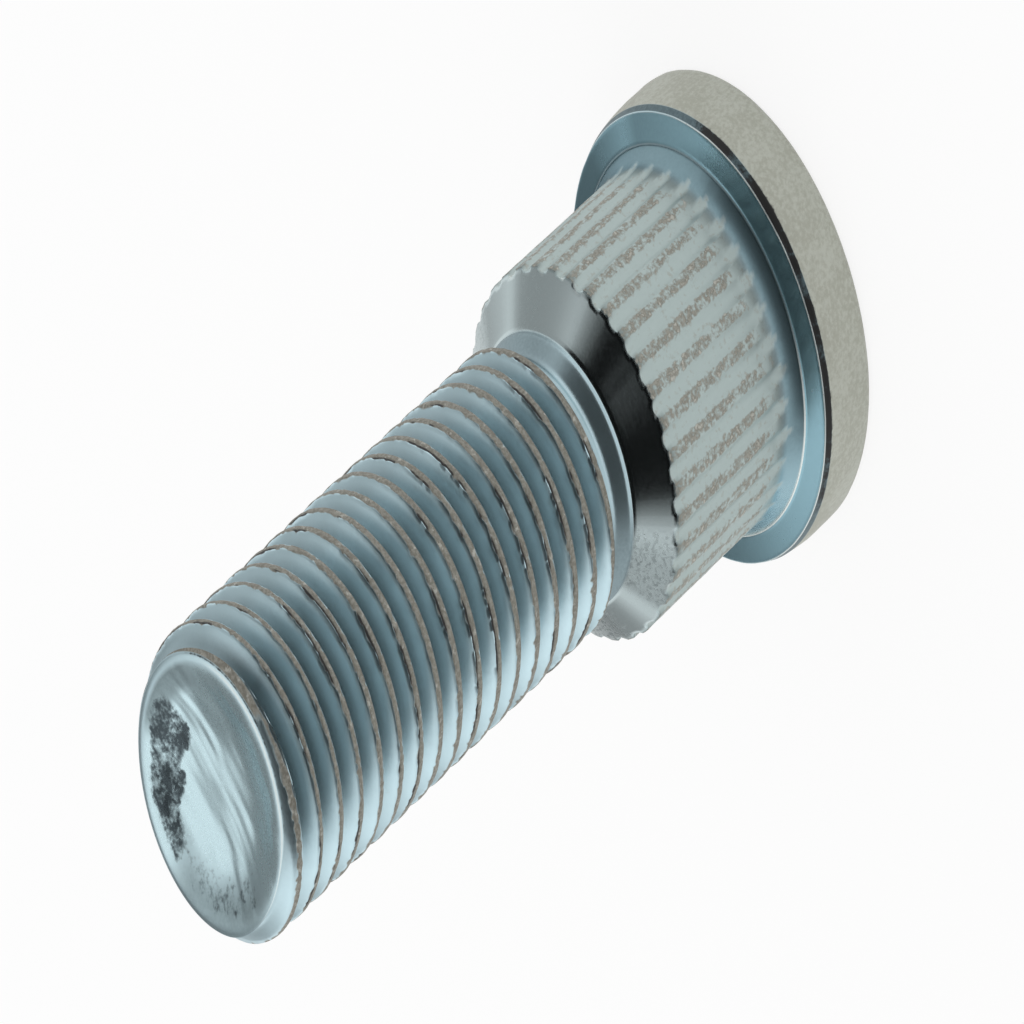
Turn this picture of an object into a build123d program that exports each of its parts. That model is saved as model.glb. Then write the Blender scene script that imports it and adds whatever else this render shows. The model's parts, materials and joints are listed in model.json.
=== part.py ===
from build123d import *

import os
from math import cos, radians, sin

# Wheel stud, standing on its head: z = 0 is the head's outer face and +Z is the axis, towards the thread's tip.
# All sizes are millimetres. +X runs through the middle of one knurl groove.

# Overall
stud_length = 42.0  # from the head's outer face to the tip's rim

# Head
head_diameter = 18.7  # over the straight part of the side
head_height = 4.0  # from the outer face to the seat
head_round = 0.6  # rounding between the outer face and the side
head_straight = 2.0  # height of the straight part of the side, from the outer face
head_draft = 0.16  # how far the side leans in from there to the bevel
seat_bevel_width = 0.16  # bevel round the seat's edge, measured across
seat_bevel_height = 0.32  # and along the axis

# Knurl
knurl_diameter = 14.8  # over the crests
knurl_length = 9.9  # from the seat to the cone, along the crests
groove_count = 36
groove_depth = 0.18  # below the crests
groove_radius = 0.55  # of the rolled groove's round floor
run_out_length = 1.1  # over which a groove rises out of the crests
run_out_foot = 0.55  # height above the seat at which it is out, just inside the collar

# Collar, the flare at the knurl's root
collar_height = 0.7  # above the seat
collar_reach = 0.42  # how far it spreads on the seat past the crests
collar_sink = 0.05  # how far below the crests it starts

# Cone and neck between the knurl and the thread
cone_length = 1.7
neck_length = 1.5
neck_band = 0.35  # plain part of the neck, next to the cone
neck_depth = 0.4  # how far that part lies below the thread's crests
neck_narrowing = 0.4  # how much deeper the neck is where it meets the thread

# Thread, M12 x 1.5, as a plain cylinder over its crests
thread_diameter = 11.75

# Tip
tip_round = 1.5  # rounding between the thread and the tip's rim
tip_turn = 60.0  # degrees that the rounding turns before it meets the rim
rim_width = 0.25  # flat ring at the tip's very end
dish_depth = 0.7  # of the hollow inside the rim
dish_floor_diameter = 5.4  # of the hollow's flat middle

# Radii and heights that follow from the sizes above
head_r = head_diameter / 2
side_top_r = head_r - head_draft
seat_r = side_top_r - seat_bevel_width
knurl_r = knurl_diameter / 2
floor_r = knurl_r - groove_depth
thread_r = thread_diameter / 2
neck_r = thread_r - neck_depth
neck_top_r = neck_r - neck_narrowing
rim_r = thread_r - tip_round * (1 - cos(radians(tip_turn)))
dish_r = rim_r - rim_width
dish_floor_r = dish_floor_diameter / 2
dish_floor_z = stud_length - dish_depth
seat_z = head_height
knurl_top_z = seat_z + knurl_length
neck_bottom_z = knurl_top_z + cone_length
neck_top_z = neck_bottom_z + neck_length
thread_bottom_z = neck_top_z + neck_depth
shoulder_z = stud_length - tip_round * sin(radians(tip_turn))


def turned_blank():
    """The round form from the head to the dished tip, before the grooves and the collar."""
    head_edge = (head_r, 0)
    side = Polyline(
        (dish_r, stud_length),
        (dish_floor_r, dish_floor_z),
        (0, dish_floor_z),
        (0, 0),
        head_edge,
        (head_r, head_straight),
        (side_top_r, seat_z - seat_bevel_height),
        (seat_r, seat_z),
        (knurl_r, seat_z),
        (knurl_r, knurl_top_z),
        (neck_r, neck_bottom_z),
        (neck_r, neck_bottom_z + neck_band),
        (neck_top_r, neck_top_z),
        (thread_r, thread_bottom_z),
        (thread_r, shoulder_z),
    )
    shoulder = RadiusArc((thread_r, shoulder_z), (rim_r, stud_length), -tip_round)
    rim = Line((rim_r, stud_length), (dish_r, stud_length))
    section = make_face(Plane.XZ * (side + shoulder + rim))
    head_corner = Plane.XZ.from_local_coords(head_edge)
    section = fillet(section.vertices().sort_by_distance(head_corner)[0], head_round)
    return revolve(section, Axis.Z)


def knurl_grooves():
    """Round-floored grooves, evenly spaced, that run out through the cone above and rise out below."""
    axis_r = floor_r + groove_radius
    run_out_z = seat_z + run_out_foot + run_out_length
    foot_z = seat_z + run_out_foot / 2
    foot_r = axis_r + groove_depth * (run_out_z - foot_z) / run_out_length
    path = Plane.XZ * Polyline((foot_r, foot_z), (axis_r, run_out_z), (axis_r, neck_bottom_z))
    section = Plane(origin=path @ 0, z_dir=path % 0) * Circle(groove_radius)
    return PolarLocations(0, groove_count) * sweep(section, path=path, transition=Transition.RIGHT)


def root_collar():
    """A cone frustum on the seat that closes the narrow ends of the grooves."""
    foot_r = knurl_r + collar_reach
    top_r = knurl_r - collar_sink
    frustum = Cone(foot_r, top_r, collar_height, align=(Align.CENTER, Align.CENTER, Align.MIN))
    return Pos(0, 0, seat_z) * frustum


wheel_stud = turned_blank() - knurl_grooves() + root_collar()

os.makedirs("parts", exist_ok=True)
export_step(wheel_stud, "parts/wheel_stud.step")
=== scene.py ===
import json
from math import cos, radians, sin, tan

import bmesh
import bpy
import numpy as np
from mathutils import Matrix, Vector


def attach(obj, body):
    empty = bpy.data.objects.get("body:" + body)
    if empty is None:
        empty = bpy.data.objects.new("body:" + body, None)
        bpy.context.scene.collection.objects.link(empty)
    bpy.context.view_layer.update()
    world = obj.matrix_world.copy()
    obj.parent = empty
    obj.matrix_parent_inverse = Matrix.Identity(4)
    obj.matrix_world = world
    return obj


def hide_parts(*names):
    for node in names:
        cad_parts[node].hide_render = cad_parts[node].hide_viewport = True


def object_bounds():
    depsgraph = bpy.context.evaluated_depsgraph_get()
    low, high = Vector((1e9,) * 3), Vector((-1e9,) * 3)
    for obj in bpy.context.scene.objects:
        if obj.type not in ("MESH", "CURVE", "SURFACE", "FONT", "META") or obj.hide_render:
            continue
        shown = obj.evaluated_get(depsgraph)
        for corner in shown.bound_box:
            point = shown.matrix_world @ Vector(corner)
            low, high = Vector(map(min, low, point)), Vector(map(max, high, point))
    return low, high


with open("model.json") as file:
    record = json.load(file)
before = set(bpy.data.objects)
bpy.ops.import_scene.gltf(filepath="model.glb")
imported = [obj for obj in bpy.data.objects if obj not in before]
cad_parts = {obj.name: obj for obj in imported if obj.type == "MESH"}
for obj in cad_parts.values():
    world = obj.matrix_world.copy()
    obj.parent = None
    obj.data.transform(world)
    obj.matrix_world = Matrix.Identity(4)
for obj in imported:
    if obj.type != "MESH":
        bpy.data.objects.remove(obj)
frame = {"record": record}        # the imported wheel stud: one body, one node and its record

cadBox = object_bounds()  # the solid's box, before it is dressed
mm = 0.001  # a millimetre in Blender's metres
turn = 2 * np.pi
nearSide = -92.5  # degrees round the axis, the side that faces the camera

# Main sizes from the frame, in millimetres
mounts = {mount["name"]: mount for mount in frame["record"]["mounts"]}
studLength = cadBox[1].z / mm
headRadius = cadBox[1].x / mm
threadRadius = mounts["thread"]["dims"]["r_mm"]
knurlRadius = mounts["knurl"]["dims"]["r_mm"]
seatHeight = mounts["seat"]["pos_m"][2] / mm
print("frame read: stud", round(studLength, 2), "mm long, head", round(2 * headRadius, 2), "mm across")


# Small helpers for the surfaces

def softMin(a, b, blend):  # the smaller of two, rounded over where they cross
    return 0.5 * (a + b - np.sqrt((a - b) ** 2 + blend**2))


def softMax(a, b, blend):  # the larger of two, rounded over where they cross
    return 0.5 * (a + b + np.sqrt((a - b) ** 2 + blend**2))


def ease(value, low, high):  # 0 at low, 1 at high, smooth between; low may be the larger
    t = np.clip((value - low) / (high - low), 0, 1)
    return t * t * (3 - 2 * t)


def bell(value, width):  # 1 at nought, falling away on both sides
    return np.exp(-((value / width) ** 2))


def arc(angle, middle, low, high):  # 1 round a middle in degrees, 0 away from it, eased between two cosines
    return ease(np.cos(angle - radians(middle)), low, high)


def aside(angle):  # 1 on the picture's upper left flank, -1 on its lower right, 0 on the near and far sides
    return np.sin(angle - radians(nearSide))


def column(*values):  # one value a row
    return np.array(values)[:, None]


def stepsToOne(rows):  # even steps, the last of them 1
    return (np.arange(1, rows + 1) / rows)[:, None]


latticeCells = 256  # height of the lattice, and its width where none is given


# Random heights at the points of a lattice, blended by a smooth step; u repeats after `around` cells
def lattice(u, v, seed, around=latticeCells):
    heights = np.random.default_rng(seed).uniform(-1, 1, (latticeCells, around))
    u0 = np.floor(u).astype(int)
    v0 = np.floor(v).astype(int)
    fu = ease(u - u0, 0, 1)
    fv = ease(v - v0, 0, 1)
    left, right = u0 % around, (u0 + 1) % around
    low, high = v0 % latticeCells, (v0 + 1) % latticeCells
    below = heights[low, left] + (heights[low, right] - heights[low, left]) * fu
    above = heights[high, left] + (heights[high, right] - heights[high, left]) * fu
    return below + (above - below) * fv


def roundNoise(angle, height, around, along, seed):  # lattice wrapped round the axis, cells `along` mm high
    return lattice(angle / turn * around, height / along, seed, around)


def ringNoise(around, seed):  # the same at every height
    return roundNoise(angle, 0 * angle, around, 1, seed)


# Grid columns: the same few angles in every knurl tooth, closest together at the groove's edges
columns = {
    "teeth": 36,
    "steps": (0, 1.6, 2.85, 3.25, 5, 6.75, 7.15, 8.4),  # degrees from the middle of a groove
}
toothAngles = np.arange(columns["teeth"])[:, None] * 360 / columns["teeth"]
angle = np.radians(np.append(toothAngles + np.array(columns["steps"]), 360))[None, :]

# The seam mark is the thread's dark rolling seam and also black painted shade; the shade mark is painted
# shade.
marks = ("crest", "seam", "land", "knurl", "cone", "seat", "burr", "shade", "skin", "dish")


def zone(radius, height, **painted):  # some rows of the grid, with what the material is told about them
    shape = np.broadcast_shapes(np.shape(radius), np.shape(height), angle.shape)
    rows = {"radius": np.broadcast_to(radius, shape), "height": np.broadcast_to(height, shape)}
    return rows | {name: np.broadcast_to(painted.get(name, 0.0), shape) for name in marks}


# Thread

thread = {
    "pitch": 1.5,
    "crestAt": 16.329,  # height of a crest at angle 0
    "crestHalf": (0.112, 0.08),  # half the crest's width near the neck and near the tip, in pitches
    "narrowing": (28, 41),  # heights between which that width changes
    "crestRound": 0.015,  # rounding of the crest's edges, in pitches
    "crestRough": 0.025,
    "edgeDents": 0.03,  # how deep the crest's edges are nicked
    "dentWidth": 0.03,  # in pitches
    "flankAngle": 30,  # degrees, of each flank from the stud's radius
    "depth": 0.9,
    "rootBlend": 0.12,
    "phases": (-0.15, -0.1, -0.03, 0.04, 0.08, 0.11, 0.145, 0.2, 0.34, 0.5, 0.66, 0.8),  # rows, in pitches
    "startPhase": -0.2,  # the row that both flat rings line up with
    "turns": 17,
    "seamIn": 0.015,  # the rolling seam lies this far inside the crest's tip side, in pitches
    "seamWidth": 0.035,
    "seamStray": 0.015,
    "seamDepth": 0.07,  # in millimetres
    "cell": 0.9,  # height of the cells of the edges' raggedness
    "rootShade": 0.28,  # painted shade in the root
    "litSide": 0.7,  # share of it that is left off on the lit side, the picture's lower right
    "runOut": (16.3, 17.3),  # heights over which the last turn fades into the neck
}
neck = {
    "radius": threadRadius - 0.44,
    "bottom": 15.22,
    "bandTop": 15.44,  # the plain band ends here, and the neck falls to the thread's root above it
    "slope": 0.6,
    "bandRound": 0.03,
    "rootRound": 0.05,
    "shade": (0.08, 0.5),  # painted shade, on the near side and on the flanks of the picture
}


# painted shade on the neck, darker on the picture's flanks than on its near side
def neckShade(angle):
    near, flank = neck["shade"]
    return near + (flank - near) * ease(np.abs(aside(angle)), 0.5, 0.85)


# Radius of the neck: a plain band, then a straight fall to the thread's root.
def neckSurface(height):
    fall = softMax(neck["slope"] * (height - neck["bandTop"]), 0, neck["bandRound"])
    return softMax(neck["radius"] - fall, threadRadius - thread["depth"], neck["rootRound"])


# Radius of the thread: straight flanks fall away from the crest line, and the root cuts them off softly.
# The crest line climbs one pitch a turn: q is a whole number on it, and phase is the way to the nearest.
def threadSurface(angle, height):
    q = (height - thread["crestAt"]) / thread["pitch"] - angle / turn
    phase = q - np.round(q)
    wide, narrow = thread["crestHalf"]
    half = wide + (narrow - wide) * ease(height, *thread["narrowing"])
    past = np.abs(phase) - half  # how far beyond the crest's edge
    cell = thread["cell"]
    ragged = 0.6 * roundNoise(angle, height, 60, cell, 11) + roundNoise(angle, height, 170, cell, 12)
    fall = thread["pitch"] / tan(radians(thread["flankAngle"]))
    drop = softMin(softMax(past, 0, thread["crestRound"]) * fall, thread["depth"], thread["rootBlend"])
    nicks = thread["edgeDents"] * np.maximum(ragged, 0) * bell(past, thread["dentWidth"])
    onCrest = ease(past + 0.03 * ragged, 0.04, -0.015)
    broken = roundNoise(angle, height, 26, cell, 13) + 0.5 * roundNoise(angle, height, 110, cell, 14)
    fromSeam = phase - half + thread["seamIn"] + thread["seamStray"] * ragged
    seam = ease(broken, -0.1, 0.7) * bell(fromSeam, thread["seamWidth"])
    rough = thread["crestRough"] * onCrest * (0.5 + 0.5 * roundNoise(angle, height, 150, 0.25, 15))
    # painted shade towards the root, lighter on the lit side
    onLitSide = thread["litSide"] * ease(-aside(angle), 0.6, 0.9)
    paintedShade = thread["rootShade"] * ease(past, 0.06, 0.26) * (1 - onLitSide)
    radius = threadRadius - drop - nicks - rough - seam * thread["seamDepth"]
    fade = ease(height, *thread["runOut"])
    bare = neckSurface(height)
    shade = neckShade(angle) + (paintedShade - neckShade(angle)) * fade
    return bare + (radius - bare) * fade, {"crest": onCrest * fade, "seam": seam * fade, "shade": shade}


# Heights of the rows that follow the crests: a wedge opens from a flat ring, turns climb, a wedge closes.
def threadHeights():
    pitch = thread["pitch"]
    steps = np.sort(np.mod(np.array(thread["phases"]) - thread["startPhase"], 1))[:, None]
    start = thread["crestAt"] + thread["startPhase"] * pitch
    end = start + thread["turns"] * pitch
    climb = pitch * angle / turn
    turnNo = np.arange(thread["turns"] - 1).repeat(len(steps))[:, None]
    whole = turnNo + np.tile(steps, (thread["turns"] - 1, 1))
    opening = start + steps * climb
    turns = start + climb + pitch * whole
    top = start + climb + pitch * (thread["turns"] - 1)
    closing = top + steps * (end - top)
    return np.vstack([opening, turns, closing, np.full_like(angle, end)])


# Tip

tip = {
    "tilt": 0.2,  # the sheared end leans by this much each way
    "highAt": 157.5,  # degrees, where the end stands highest
    "rounding": 1.5,
    "shoulder": 1.3,  # height of the rounded shoulder
    "edgeRound": 0.02,  # where the thread meets the shoulder
    "rimIn": 4.95,  # inner radius of the rim
    "rimCrown": 0.05,  # height of the rim's rounding
    "dishDepth": 0.9,
    "dishPower": 2.1,  # above 1 the dish's wall is steepest near the rim
    "lumps": (0.03, 0.024),  # heights of the dish's bumps and streaks
    "streaksAt": 8,  # degrees, the way that the streaks run
    # Marks, each with its middle in degrees and its strength
    "gleam": (-110, 0.8),  # the bright arc on the rim
    "dishDark": (56, 0.68),  # painted shade: the dark patch on the dish's wall
    "fainterDark": (145, 0.44),  # a fainter dark patch
    "rimShade": (145, 0.45),  # painted shade on the rim beside that
    "darkening": (6, 0.5),  # a patch on the wall made darker
    "line": (-80, 0.6),  # painted shade: the dark line under the rim
    "worn": (-28, 1),  # the last crest's worn trace on the shoulder
    "sootStray": 0.06,  # how far the dark patches' edges stray, as a share of the radius
    "shoulderRows": 5,
    "rimRows": 5,
    "dishRows": 26,
}
endRadius = threadRadius - tip["rounding"] / 2  # where the end's lean is measured


def tipMark(name, low, high):  # one of the marks above, eased in between two cosines
    middle, strength = tip[name]
    return strength * arc(angle, middle, low, high)


def tipEnd(angle, radius):  # height of the leaning end plane
    reach = radius / endRadius
    return studLength - tip["tilt"] + tip["tilt"] * reach * np.cos(angle - radians(tip["highAt"]))


# The thread runs out over the tip: the smaller of the thread and a rounded shoulder below the end plane.
def shankSurface(angle, height):
    radius, painted = threadSurface(angle, height)
    below = tipEnd(angle, endRadius) - height
    into = np.clip(tip["shoulder"] - below, 0, tip["shoulder"])
    envelope = threadRadius - tip["rounding"] + np.sqrt(tip["rounding"] ** 2 - into**2)
    worn = ease(below, 0.05, 0.13) * ease(below, 0.42, 0.3) * tipMark("worn", 0.45, 0.7)
    # painted shade: a dark line under the rim
    line = bell(below - 0.07, 0.04) * tipMark("line", 0.3, 0.7)
    painted["crest"] = np.maximum(painted["crest"] * ease(envelope - radius, -0.6, -0.25), worn)
    painted["seam"] = np.maximum(painted["seam"] * ease(envelope - radius, -0.05, 0.02), line)
    return softMin(radius, envelope, tip["edgeRound"]), painted


# Up the shoulder and over the rim's rounding, a quarter of a sine wave.
def rimZones(ringHeight):
    edge = tipEnd(angle, endRadius) - tip["rimCrown"]
    shoulderHeight = ringHeight + (edge - ringHeight) * stepsToOne(tip["shoulderRows"])
    shoulderRadius, painted = shankSurface(angle, shoulderHeight)
    over = stepsToOne(tip["rimRows"])
    rimRadius = shoulderRadius[-1:] + (tip["rimIn"] - shoulderRadius[-1:]) * over
    rimHeight = edge + tip["rimCrown"] * np.sin(over * np.pi / 2)
    gleam = bell(over - 0.5, 0.25) * tipMark("gleam", 0.2, 0.7)
    return [
        zone(shoulderRadius, shoulderHeight, **painted),
        # painted highlight on the rim's near side, painted shade on its far side
        zone(rimRadius, rimHeight, dish=0.3, burr=gleam, shade=tipMark("rimShade", 0.6, 0.9)),
    ]


# Down the dish: half a cosine wave over a power of the radius, with low bumps and streaks on it.
def dishZone():
    inward = 1 - stepsToOne(tip["dishRows"])
    radius = tip["rimIn"] * inward + 0 * angle
    along = radius * np.cos(angle - radians(tip["streaksAt"]))
    beside = radius * np.sin(angle - radians(tip["streaksAt"]))
    bumpHeight, streakHeight = tip["lumps"]
    bumps = bumpHeight * lattice(along / 1.2, beside / 0.9, 21)
    streaks = streakHeight * lattice(along / 1.6, beside / 0.35, 22)
    hollow = tip["dishDepth"] * (0.5 + 0.5 * np.cos(np.pi * inward ** tip["dishPower"]))
    height = tipEnd(angle, radius) - hollow + (bumps + streaks) * ease(inward, 1, 0.85)

    uneven = tip["sootStray"] * ringNoise(36, 23)
    inner = 0.5 + 0.24 * ease(np.degrees(angle), 45, 110) + uneven  # the painted shade draws back on one side
    wall = ease(inward + 0.5 * uneven, 0.97, 0.87)
    # painted shade on the dish's far wall
    dishDark = tipMark("dishDark", 0.6, 0.76) * ease(inward - inner, -0.05, 0.05) * wall
    # a fainter dark patch, and a patch at the wall's foot made darker
    fainterDark = tipMark("fainterDark", 0.5, 0.9) * ease(inward, 0.5, 0.75) * wall
    darkening = tipMark("darkening", 0.8, 0.95) * ease(inward, 0.72, 0.84)
    rimShade = tipMark("rimShade", 0.6, 0.9) * ease(inward, 0.6, 0.9)
    return zone(radius, height, dish=1, seam=np.maximum(dishDark, fainterDark), shade=np.maximum(darkening, rimShade))


# Neck, cone, knurl and collar

knurl = {
    "grooveRadius": 0.55,
    "grooveDepth": 0.18,
    "edgeRound": 0.015,
    "coneTop": 13.82,  # height at which the cone reaches the crests
    "coneRound": 0.04,  # where the cone meets the neck
    "coneFlankShade": (0.2, 0.5),  # painted shade on the cone's flanks, upper left and lower right in the picture
    "runOut": (4.6, 5.9),  # heights between which a groove rises out to a point
    "runOutStray": 0.15,  # how far those points differ from groove to groove
    "collarTop": 5.05,
    "collarReach": 0.42,  # how far the collar spreads past the crests
    "collarPower": 1.5,  # above 1 the collar is hollow
    "collarShade": 0.34,
    "toothedFrom": (4.9, 5.5),  # heights over which the collar's finish gives way to the knurl's
    "wornFrom": (5.0, 6.8),  # heights over which the crests' wear sets in
    "endShade": 0.45,  # painted shade on the crests' ends by the cone
    "wander": 0.35,  # degrees that a groove's edges stray
    "rough": 0.025,  # of the crests
}
shankStations = np.concatenate([
    (15.9, 15.75, 15.63, 15.55, 15.49, 15.44, 15.38, 15.3, 15.24, 15.18, 15.1),
    (14.95, 14.7, 14.45, 14.25, 14.12, 14.05, 13.98, 13.9, 13.8, 13.65),
    np.linspace(13.4, 6.2, 21),
    (5.95, 5.75, 5.55, 5.35, 5.15, 5.0, 4.86, 4.74, 4.62, 4.5, 4.38, 4.26, 4.16, 4.08, 4.03),
])[:, None]


# A groove is a round-floored channel whose depth eases to nothing on the way down, so it ends in a point.
# The crests between the grooves flare out into the collar, and the cone cuts everything off above.
def bodySurface(angle, height):
    tooth = turn / columns["teeth"]
    toothNo = np.round(angle / tooth).astype(int) % columns["teeth"]
    away = np.mod(angle / tooth + 0.5, 1) * tooth - 0.5 * tooth
    away = away + np.sign(away) * radians(knurl["wander"]) * roundNoise(angle, height, 72, 0.7, 31)
    down = np.clip((knurl["collarTop"] - height) / (knurl["collarTop"] - seatHeight), 0, 1)
    crest = knurlRadius + knurl["collarReach"] * down ** knurl["collarPower"]
    stray = knurl["runOutStray"] * np.random.default_rng(33).uniform(-1, 1, columns["teeth"])[toothNo]
    depth = knurl["grooveDepth"] * ease(height + stray, *knurl["runOut"])
    centre = crest - depth + knurl["grooveRadius"]
    side = centre * np.sin(away)
    groove = centre * np.cos(away) - np.sqrt(np.maximum(knurl["grooveRadius"] ** 2 - side**2, 0))
    inGroove = ease(crest - groove, 0, 0.02)
    toothed = np.maximum(ease(height, *knurl["toothedFrom"]), inGroove)
    rough = 0.5 + 0.5 * roundNoise(angle, height, 144, 0.3, 32)
    land = ease(groove - crest, -0.14, 0.05) * ease(height, *knurl["wornFrom"])
    radius = softMin(groove, crest - knurl["rough"] * rough * toothed, knurl["edgeRound"])
    slope = (knurlRadius - neck["radius"]) / (neck["bottom"] - knurl["coneTop"])
    straight = neck["radius"] + (neck["bottom"] - height) * slope
    cone = softMax(neckSurface(height), straight, knurl["coneRound"])

    onCone = ease(radius - cone, -0.03, 0.03)
    onNeck = ease(height, neck["bottom"] - 0.05, neck["bottom"] + 0.1)
    flank = np.abs(aside(angle))
    darkening = np.where(aside(angle) > 0, *knurl["coneFlankShade"])
    flankShade = darkening * onCone * ease(flank, 0.6, 0.9) * ease(flank, 1, 0.965)  # painted shade, gone at the picture's outline
    # painted shade on the crests' ends by the cone
    ends = knurl["endShade"] * land * ease(height, 13.2, 13.8) * (1 - onCone)
    # painted highlight: a bright broken line along the cone's edge
    burr = bell(radius - cone, 0.05) * ease(roundNoise(angle, height, 130, 0.4, 34), 0.15, 0.6)
    lit = ease(-aside(angle), 0.75, 0.98)  # where the collar is lit, on the picture's lower right
    # painted shade on the collar, darkest at its foot, left off where it is lit
    dim = knurl["collarShade"] * ease(height, 6.2, 5.1) * (1 - inGroove) * (1 - lit)
    return softMin(radius, cone, knurl["edgeRound"]), {
        "land": land * (1 - onCone),
        "knurl": toothed * (1 - onCone),
        "cone": onCone * (1 - onNeck),
        "seat": 0.7 * ease(height, 5.6, 4.7) * (1 - toothed),
        "burr": 0.8 * burr,
        "shade": flankShade * (1 - onNeck) + neckShade(angle) * onNeck + ends + dim,
    }


# Head

head = {
    "bead": (7.86, 0.05, 0.04),  # radius, half width and height of the bead round the collar
    "beadShade": 0.45,  # painted shade on it where it isn't bright
    "seatFrom": 7.9,  # radius at which the seat starts, under the bead
    "seatRings": (7.93, 8.05, 8.3, 8.6, 8.9, 9.03),
    "seatShade": 0.35,  # painted shade on the picture's upper left
    "rim": (9.08, 3.74),  # radius and height of the seat's bright rim
    "rimScallop": 0.012,  # how far the rim strays
    "gleamAt": nearSide - 25,  # degrees, where the rim is brightest
    "bevelTo": (9.21, 3.38),  # radius and height of the bevel's foot
    "bevelShade": 0.7,
    "nearShadeAt": nearSide - 11.5,  # degrees, the middle of the black painted shade on the bevel's near side
    "straight": 2.0,  # height at which the side stops leaning in
    "straightRings": (1.4, 0.9),
    "corner": 0.6,
    "faceRings": (7.2, 5.4, 3.6, 1.8, 0),
    "skin": 0.02,  # roughness of the forged side
}


# The head is a profile turned round the axis: a sloping seat, its rim, bevel, side, corner and outer face.
def headZones():
    beadMiddle, beadHalf, beadHigh = head["bead"]
    beadRadius = beadMiddle + beadHalf * column(-0.8, 0, 0.8)
    beadTop = seatHeight + beadHigh * column(0.4, 1, 0.4)
    rimRadius, rimTop = head["rim"]
    bevelRadius, bevelFoot = head["bevelTo"]
    seatRadius = column(*head["seatRings"])
    seatFrom = head["seatFrom"]
    seatTop = seatHeight - (seatHeight - rimTop) * (seatRadius - seatFrom) / (rimRadius - seatFrom)
    edgeRadius = rimRadius + column(-0.008, 0.004, 0.012)
    edgeTop = rimTop + column(0.012, 0, -0.016)
    down = column(0.15, 0.5, 0.8, 1)
    slantRadius = rimRadius + (bevelRadius - rimRadius) * down
    slantTop = rimTop + (bevelFoot - rimTop) * down
    lean = column(0.04, 0.2, 0.45, 0.75, 1)
    leanRadius = bevelRadius + (headRadius - bevelRadius) * np.sin(lean * np.pi / 2)
    leanTop = bevelFoot + (head["straight"] - bevelFoot) * lean
    straightTop = column(*head["straightRings"])
    bend = np.radians(np.linspace(0, 90, 7))[:, None]
    cornerRadius = headRadius - head["corner"] * (1 - np.cos(bend))
    cornerTop = head["corner"] * (1 - np.sin(bend))
    skinRadius = np.vstack([leanRadius, headRadius + 0 * straightTop, cornerRadius])
    skinTop = np.vstack([leanTop, straightTop, cornerTop])
    faceRadius = column(*head["faceRings"])

    pitted = 0.5 + 0.5 * roundNoise(angle, skinTop, 120, 0.5, 41)
    ramp = ease(skinTop, 0, 0.3) * ease(skinTop, bevelFoot, bevelFoot - 0.2)
    scallop = head["rimScallop"] * ringNoise(96, 42)
    # painted shade on the seat's upper left in the picture
    dull = head["seatShade"] * ease(aside(angle), 0.4, 0.95) * ease(aside(angle), 1, 0.965)
    # painted highlight on the bead on the picture's lower right, painted shade on it elsewhere
    bright = 0.1 + 0.9 * ease(-aside(angle), 0.1, 0.7)
    gleam = 0.3 + 0.7 * arc(angle, head["gleamAt"], 0, 0.5)
    broken = 0.25 * ringNoise(60, 43) + 0.2 * ringNoise(150, 44)
    # painted shade: the bevel dark all round and black on its near side, and the skin just below it
    nearShade = (0.85 + broken) * arc(angle, head["nearShadeAt"], 0.2, 0.8)
    nearShadeBelow = ease(skinTop, bevelFoot - 0.35, bevelFoot) * nearShade
    return [
        zone(beadRadius, beadTop, seat=0.5, burr=bright, shade=head["beadShade"] * (1 - bright)),
        zone(seatRadius, seatTop, seat=1, shade=dull),
        zone(edgeRadius + scallop, edgeTop, seat=0.5, burr=gleam),
        zone(slantRadius, slantTop, seat=0.4, seam=nearShade, shade=head["bevelShade"]),
        zone(skinRadius - head["skin"] * pitted * ramp, skinTop, skin=1, seam=0.6 * nearShadeBelow),
        zone(faceRadius, 0 * faceRadius, skin=1),
    ]


# The whole skin, from the dish's middle over the rim and down to the middle of the outer face.
# The zones from the thread to the dish are worked out upwards, so they are turned over.
def studSkin():
    rings = threadHeights()
    radius, painted = shankSurface(angle, rings)
    upward = [zone(radius, rings, **painted), *rimZones(rings[-1:]), dishZone()]
    downward = [{name: rows[name][::-1] for name in rows} for rows in upward[::-1]]
    radius, painted = bodySurface(angle, shankStations)
    zones = downward + [zone(radius, shankStations, **painted)] + headZones()
    return {name: np.vstack([rows[name] for rows in zones]) for name in zones[0]}


def gridQuads(rows, cols):
    corner = np.arange(rows * cols).reshape(rows, cols)
    quads = np.stack([corner[:-1, :-1], corner[1:, :-1], corner[1:, 1:], corner[:-1, 1:]], -1)
    return quads.reshape(-1, 4).tolist()


def setMark(mesh, name, values):  # one number a point, which a material reads by its name
    mark = mesh.attributes.new(name, "FLOAT", "POINT")
    mark.data.foreach_set("value", values.astype(np.float32).ravel())


def addObject(name, data):
    added = bpy.data.objects.new(name, data)
    bpy.context.scene.collection.objects.link(added)
    return added


sharpFrom = 40  # degrees between faces, past which an edge is sharp
mergeWithin = 0.002  # mm, for the grid's own seam and its two poles


def gridMesh(name, skin):
    radius = skin["radius"]
    points = np.stack([radius * np.cos(angle), radius * np.sin(angle), skin["height"]], -1) * mm
    mesh = bpy.data.meshes.new(name)
    mesh.from_pydata(points.reshape(-1, 3).tolist(), [], gridQuads(*radius.shape))
    for mark in marks:
        setMark(mesh, mark, skin[mark])
    work = bmesh.new()
    work.from_mesh(mesh)
    bmesh.ops.remove_doubles(work, verts=work.verts, dist=mergeWithin * mm)
    bmesh.ops.recalc_face_normals(work, faces=work.faces)
    work.to_mesh(mesh)
    work.free()
    mesh.shade_smooth()
    mesh.set_sharp_from_angle(angle=radians(sharpFrom))
    return addObject(name, mesh)


stud = gridMesh("studBody", studSkin())
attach(stud, "root")
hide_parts("wheel_stud")
stud.data.calc_loop_triangles()
print("stud skin:", len(stud.data.loop_triangles), "triangles")


# Materials

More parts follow.
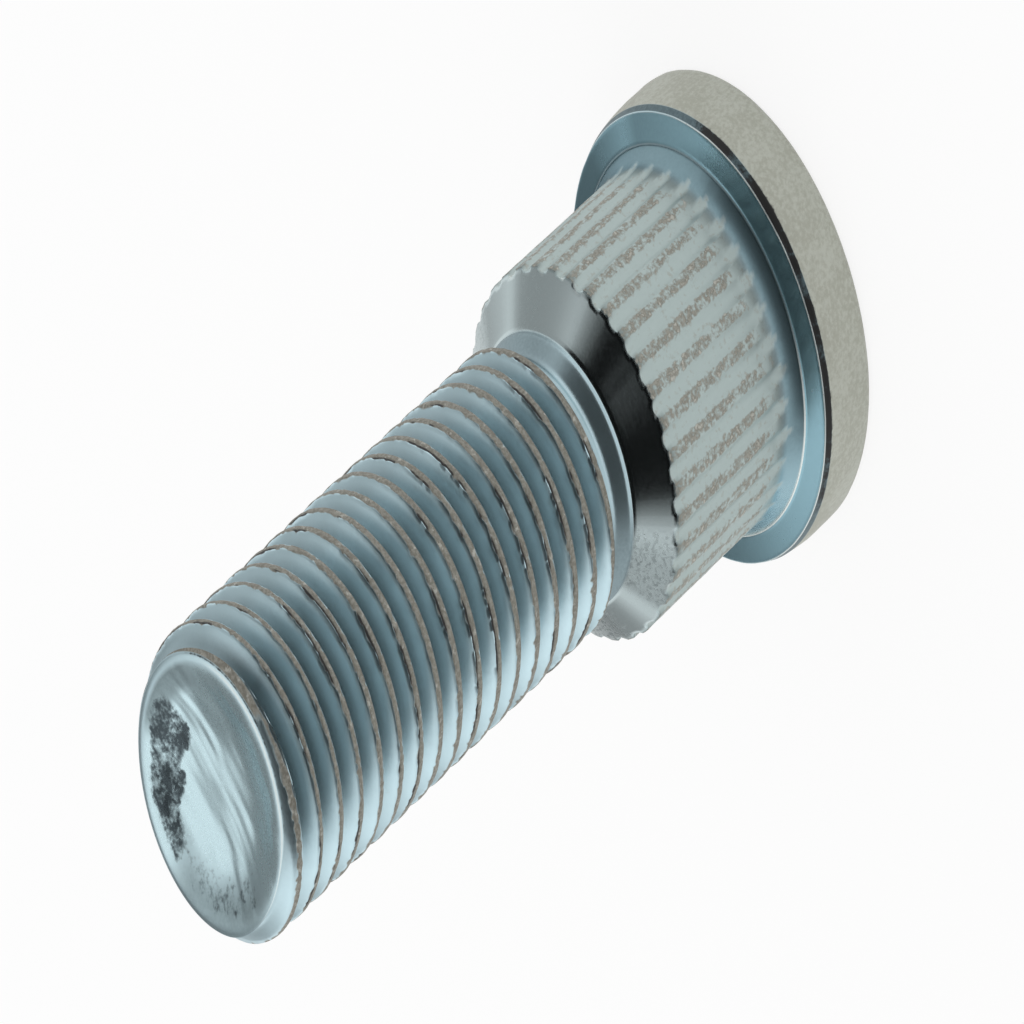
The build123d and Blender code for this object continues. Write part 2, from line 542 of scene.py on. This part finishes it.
class Wire:  # a node's output; operators on it add Math nodes to the tree in hand
    tree = None

    def __init__(self, socket):
        self.socket = socket

    @classmethod
    def make(cls, kind, settings=None, sockets=None, out=0):
        node = cls.tree.nodes.new(kind)
        for name, value in (settings or {}).items():
            setattr(node, name, value)
        for name, value in (sockets or {}).items():
            if isinstance(value, Wire):
                cls.tree.links.new(value.socket, node.inputs[name])
            else:
                node.inputs[name].default_value = value
        return cls(node.outputs[out])

    def math(self, operation, other, flip=False):
        pair = (other, self) if flip else (self, other)
        return Wire.make("ShaderNodeMath", {"operation": operation}, dict(enumerate(pair)))

    def __add__(self, other):
        return self.math("ADD", other)

    def __radd__(self, other):
        return self.math("ADD", other, True)

    def __sub__(self, other):
        return self.math("SUBTRACT", other)

    def __rsub__(self, other):
        return self.math("SUBTRACT", other, True)

    def __mul__(self, other):
        return self.math("MULTIPLY", other)

    def __rmul__(self, other):
        return self.math("MULTIPLY", other, True)


def feed(wire, socket):
    Wire.tree.links.new(wire.socket, socket)


def paint(name):  # an attribute of the mesh
    return Wire.make("ShaderNodeAttribute", {"attribute_name": name}, out="Fac")


def smooth(value, low, high):  # 0 at low, 1 at high
    sockets = {"Value": value, "From Min": low, "From Max": high}
    return Wire.make("ShaderNodeMapRange", {"interpolation_type": "SMOOTHSTEP"}, sockets)


def blendColour(factor, first, second):
    sockets = {0: factor, 6: first if isinstance(first, Wire) else (*first, 1)}
    sockets[7] = second if isinstance(second, Wire) else (*second, 1)
    return Wire.make("ShaderNodeMix", {"data_type": "RGBA"}, sockets, 2)


def blendShader(factor, first, second):
    return Wire.make("ShaderNodeMixShader", None, {0: factor, 1: first, 2: second})


def grain(point, scale, detail, roughness):
    sockets = {"Vector": point, "Scale": scale, "Detail": detail, "Roughness": roughness}
    return Wire.make("ShaderNodeTexNoise", None, sockets)


zinc = {
    "plate": (0.575, 0.75, 0.81),
    "plateDeep": (0.535, 0.70, 0.755),
    "cone": (0.53, 0.62, 0.63),
    "seat": (0.27, 0.45, 0.52),
    "dish": (0.60, 0.78, 0.83),
    "sage": (0.465, 0.55, 0.54),
    # colour of the painted highlights on edges, the bead and the rims
    "burr": (0.75, 0.80, 0.78),
    "brown": (0.37, 0.365, 0.32),
    "brownDark": (0.235, 0.225, 0.19),
    "brownPale": (0.53, 0.53, 0.48),
    "skin": (0.50, 0.52, 0.46),
    "skinDark": (0.41, 0.42, 0.36),
    "seam": (0.045, 0.045, 0.045),
    # colour of the dark patches in the dish, painted shade for the most part
    "dishDark": (0.065, 0.085, 0.095),
    "paintedShade": (0, 0, 0),
    "rough": 0.33,  # roughness of the bare plate
    "knurlRough": 0.1,  # what these finishes add to it
    "dullRough": 0.22,
    "shadeRough": 0.25,
    "mottleRough": 0.5,
    "coneGloss": 0.21,  # and what these take off it
    "seatGloss": 0.08,
    "dishGloss": 0.05,
    "bump": (0.2, 0.05),  # strength of the fine relief, and its height in millimetres
}
grains = {  # cells a millimetre, detail and roughness
    "fine": (7, 3, 0.5),
    "speck": (3.2, 3, 0.6),
    "broad": (0.45, 2, 0.5),
    "patchy": (1.3, 2, 0.5),
    "stony": (4.5, 4, 0.7),
}


def zincPlate():
    material = bpy.data.materials.new("zincPlatedSteel")
    material.use_nodes = True
    Wire.tree = material.node_tree
    shader = material.node_tree.nodes["Principled BSDF"]
    place = Wire.make("ShaderNodeTexCoord", out="Object")
    point = Wire.make("ShaderNodeVectorMath", {"operation": "SCALE"}, {0: place, "Scale": 1 / mm})
    fine, speck, broad, patchy, stony = (grain(point, *sizes) for sizes in grains.values())
    crest, seam, land, toothed, cone, seat, burr, shade, skin, dish = (paint(name) for name in marks)

    # Plate, tinted place by place, with painted highlights and painted shade over it
    metal = blendColour(smooth(broad, 0.35, 0.65), zinc["plate"], zinc["plateDeep"])
    for mark, tint in ((cone, "cone"), (seat, "seat"), (dish, "dish"), (toothed, "sage"), (burr, "burr")):
        metal = blendColour(mark, metal, zinc[tint])
    metal = blendColour(toothed * smooth(speck, 0.56, 0.7) * 0.45, metal, zinc["brown"])
    metal = blendColour(shade * (0.85 + fine * 0.3), metal, zinc["paintedShade"])

    # Brown wear on the crests of the thread and the knurl
    worn = blendColour(smooth(fine, 0.35, 0.7), zinc["brownDark"], zinc["brown"])
    worn = blendColour(smooth(speck, 0.58, 0.7), worn, zinc["brownPale"])
    # the thread's crests a darker brown than the knurl's
    worn = blendColour(crest * 0.16, worn, zinc["paintedShade"])
    landWorn = smooth(land + (speck - 0.5) * 2.2 + (fine - 0.5) * 1.2, 0.58, 1.2)
    crestWorn = smooth(crest + fine * 0.3, 0.5, 1)
    brown = 1 - (1 - landWorn) * (1 - crestWorn)
    colour = blendColour(brown, metal, worn)

    # The head's forged skin, then dark seams, black painted shade under the tip's rim and on the bevel, and
    # dark patches in the dish, mostly painted shade
    forged = blendColour(smooth(stony * 0.7 + broad * 0.3, 0.4, 0.6), zinc["skinDark"], zinc["skin"])
    colour = blendColour(skin, colour, forged)
    blotches = (patchy - 0.5) * dish * smooth(seam, 0, 0.2) * 0.6
    black = smooth(seam + (fine - 0.5) * 0.4 + (speck - 0.5) * 0.6 + blotches, 0.36, 0.75)
    colour = blendColour(black, colour, blendColour(dish, zinc["seam"], zinc["dishDark"]))
    feed(colour, shader.inputs["Base Color"])

    dull = 1 - (1 - brown) * (1 - skin)
    mottled = cone * shade * smooth(stony, 0.48, 0.62)
    feed(0.95 + cone * 0.05 - dull * 0.6 - burr * 0.3, shader.inputs["Metallic"])
    rough = zinc["rough"] + toothed * zinc["knurlRough"] - cone * zinc["coneGloss"] - seat * zinc["seatGloss"]
    rough = rough + dull * zinc["dullRough"] + (fine - 0.5) * 0.1 - dish * zinc["dishGloss"]
    rough = rough + mottled * zinc["mottleRough"] + shade * zinc["shadeRough"]
    feed(rough, shader.inputs["Roughness"])

    strength, high = zinc["bump"]
    height = fine * (0.25 + dull * 0.75 - cone * 0.2 - seat * 0.2) + stony * skin * 0.6
    bump = Wire.make("ShaderNodeBump", None, {"Strength": strength, "Distance": high * mm, "Height": height})
    feed(bump, shader.inputs["Normal"])
    return material


stud.data.materials.append(zincPlate())
print("finish: zinc plate")


# Studio: a pale floor, a white world, a softbox, cards that the metal reflects, and the camera

camera = {
    "azimuth": -1.97,  # degrees, where the picture is taken from
    "elevation": 37.78,
    "roll": -122.26,
    "leanAcross": 9.62,  # the picture is squeezed sideways, so the camera's two axes lean, in degrees
    "leanUp": 48.81,
    "distance": 758.0,  # millimetres, as the aim is
    "aim": (-0.03, 0, 18.82),
    "lens": 496.4,
    "sensor": 36,
    "clip": (0.05, 20),  # metres
}


def viewDirection(azimuth, elevation):
    a, e = radians(azimuth), radians(elevation)
    return Vector((sin(a) * cos(e), -cos(a) * cos(e), sin(e)))


def leaningCamera():
    a, roll = radians(camera["azimuth"]), radians(camera["roll"])
    back = viewDirection(camera["azimuth"], camera["elevation"])
    level = Vector((cos(a), sin(a), 0))
    upright = back.cross(level)
    across = cos(roll) * level + sin(roll) * upright
    up = cos(roll) * upright - sin(roll) * level
    leanA, leanU = radians(camera["leanAcross"]), radians(camera["leanUp"])
    spot = (Vector(camera["aim"]) + back * camera["distance"]) * mm
    axes = (cos(leanA) * across + sin(leanA) * back, cos(leanU) * up + sin(leanU) * back, back, spot)
    lens = bpy.data.cameras.new("studioCamera")
    lens.lens, lens.sensor_width = camera["lens"], camera["sensor"]
    lens.clip_start, lens.clip_end = camera["clip"]
    stand = addObject("cameraStand", None)
    eye = addObject("studioCamera", lens)
    eye.parent = stand
    eye.matrix_parent_inverse = Matrix((*zip(*axes), (0, 0, 0, 1)))  # holds the lean, as no turn can
    bpy.context.scene.camera = eye


studio = {
    "floorSize": 1.2,
    "floorDrop": 0.02,  # mm under the head's outer face
    "floorWhite": 0.9,
    "floorGlow": 0.85,  # share of plain white that the floor shows to the camera and in reflections
    "worldLight": 0.9,
    "softbox": {"azimuth": -121, "elevation": 41, "distance": 0.7, "size": 0.4, "power": 0.55},
}
flags = {  # cards that only the metal sees: where they hang, reach and soft edge in degrees, and brightness
    "brightCard": {"azimuth": -132, "elevation": 40, "distance": 0.9, "reach": 36, "soft": 24, "glow": 1.2},
    "fillCard": {"azimuth": 104, "elevation": 63, "distance": 0.95, "reach": 20, "soft": 14, "glow": 0.85},
    "cameraFlag": {"azimuth": -13, "elevation": 27, "distance": 1.0, "reach": 75, "soft": 8, "glow": 0.008},
    "topFlag": {"azimuth": -45, "elevation": 80, "distance": 1.1, "reach": 46, "soft": 30, "glow": 0.43},
    "sideFlag": {"azimuth": 100, "elevation": 48, "distance": 1.2, "reach": 45, "soft": 15, "glow": 0.5},
    "backFlag": {"azimuth": 180, "elevation": 32, "distance": 1.3, "reach": 46, "soft": 12, "glow": 0.2},
}
flagGrid = (25, 49)  # points from a flag's middle to its edge, and round it
windowed = ("topFlag", "sideFlag", "backFlag")
dishWindow = {"azimuth": 164, "elevation": 60, "reach": 26, "soft": 5}  # a hole in those, seen in the dish
flagCeiling = {  # where the camera flag ends above, so that the thread's flanks are brighter than the cone
    "azimuth": 3,
    "middle": 74,  # degrees of elevation
    "sides": 58,
    "between": (68, 96),  # degrees from that azimuth over which it falls
    "soft": 4,
}


def seenRays():  # 1 for what the camera sees, straight or in metal or glass
    path = Wire.make("ShaderNodeLightPath").socket.node
    seen = Wire(path.outputs["Is Camera Ray"])
    for name in ("Is Glossy Ray", "Is Transmission Ray"):
        seen = seen.math("MAXIMUM", Wire(path.outputs[name]))
    return seen


def stagePiece(name, points, faces):
    mesh = bpy.data.meshes.new(name)
    mesh.from_pydata(points, [], faces)
    piece = addObject(name, mesh)
    material = bpy.data.materials.new(name)
    material.use_nodes = True
    mesh.materials.append(material)
    Wire.tree = material.node_tree
    return piece, material.node_tree.nodes["Material Output"].inputs["Surface"]


def paleFloor():
    half = studio["floorSize"] / 2
    low = -studio["floorDrop"] * mm
    corners = [(-half, -half, low), (half, -half, low), (half, half, low), (-half, half, low)]
    floor, surface = stagePiece("studioFloor", corners, [(0, 1, 2, 3)])
    matte = Wire.make("ShaderNodeBsdfDiffuse", None, {"Color": (*[studio["floorWhite"]] * 3, 1)})
    glow = Wire.make("ShaderNodeEmission")
    feed(blendShader(seenRays() * studio["floorGlow"], matte, glow), surface)


def windowCover(ways):  # 0 inside the window, 1 outside it
    window = np.array(viewDirection(dishWindow["azimuth"], dishWindow["elevation"]))
    off = np.degrees(np.arccos(np.clip(ways @ window, -1, 1)))
    return ease(off, dishWindow["reach"] - dishWindow["soft"], dishWindow["reach"])


def ceilingCover(ways):  # 1 below the ceiling, 0 above it
    x, y, z = np.moveaxis(ways, -1, 0)
    off = np.abs(np.degrees(np.arctan2(x, -y)) - flagCeiling["azimuth"])
    fall = (flagCeiling["middle"] - flagCeiling["sides"]) * ease(off, *flagCeiling["between"])
    over = np.degrees(np.arcsin(np.clip(z, -1, 1))) - flagCeiling["middle"] + fall
    return ease(over, flagCeiling["soft"], -flagCeiling["soft"])


# A flag is a cap of a sphere round the stud, from the angle off its middle and the angle round it.
def hangFlag(name):
    flag = flags[name]
    middle = viewDirection(flag["azimuth"], flag["elevation"])
    turned = np.array(middle.to_track_quat("Z", "Y").to_matrix())
    rings, spokes = flagGrid
    off = np.radians(np.linspace(0, flag["reach"], rings))[:, None]
    about = np.linspace(0, turn, spokes)[None, :]
    cap = np.stack([np.sin(off) * np.cos(about), np.sin(off) * np.sin(about), np.cos(off) + 0 * about], -1)
    ways = cap @ turned.T
    points = ways.reshape(-1, 3) * flag["distance"]
    card, surface = stagePiece(name, points.tolist(), gridQuads(rings, spokes))
    card.visible_camera = card.visible_diffuse = card.visible_shadow = False
    cover = ease(np.degrees(off) + 0 * about, flag["reach"], flag["reach"] - flag["soft"])
    if name in windowed:
        cover = cover * windowCover(ways)
    if name == "cameraFlag":
        cover = cover * ceilingCover(ways)
    setMark(card.data, "cover", cover)
    cloth = Wire.make("ShaderNodeEmission", None, {"Strength": flag["glow"]})
    clear = Wire.make("ShaderNodeBsdfTransparent")
    feed(blendShader(paint("cover"), clear, cloth), surface)


def whiteWorld():
    world = bpy.data.worlds.new("whiteWorld")
    bpy.context.scene.world = world
    world.use_nodes = True
    Wire.tree = world.node_tree
    sky = world.node_tree.nodes["Background"]
    sky.inputs["Color"].default_value = (1, 1, 1, 1)
    feed(studio["worldLight"] + seenRays() * (1 - studio["worldLight"]), sky.inputs["Strength"])


def hangSoftbox():
    box = studio["softbox"]
    lamp = bpy.data.lights.new("softbox", "AREA")
    lamp.shape, lamp.size, lamp.energy = "DISK", box["size"], box["power"]
    hung = addObject("softbox", lamp)
    away = viewDirection(box["azimuth"], box["elevation"])
    hung.location = away * box["distance"]
    hung.rotation_euler = away.to_track_quat("Z", "Y").to_euler()
    hung.visible_glossy = False  # the metal shows the soft-edged bright card there instead of a disc


leaningCamera()
paleFloor()
whiteWorld()
hangSoftbox()
for name in flags:
    hangFlag(name)
print("studio: floor, white world, softbox and", len(flags), "flags")

bpy.context.scene.view_settings.view_transform = "Standard"
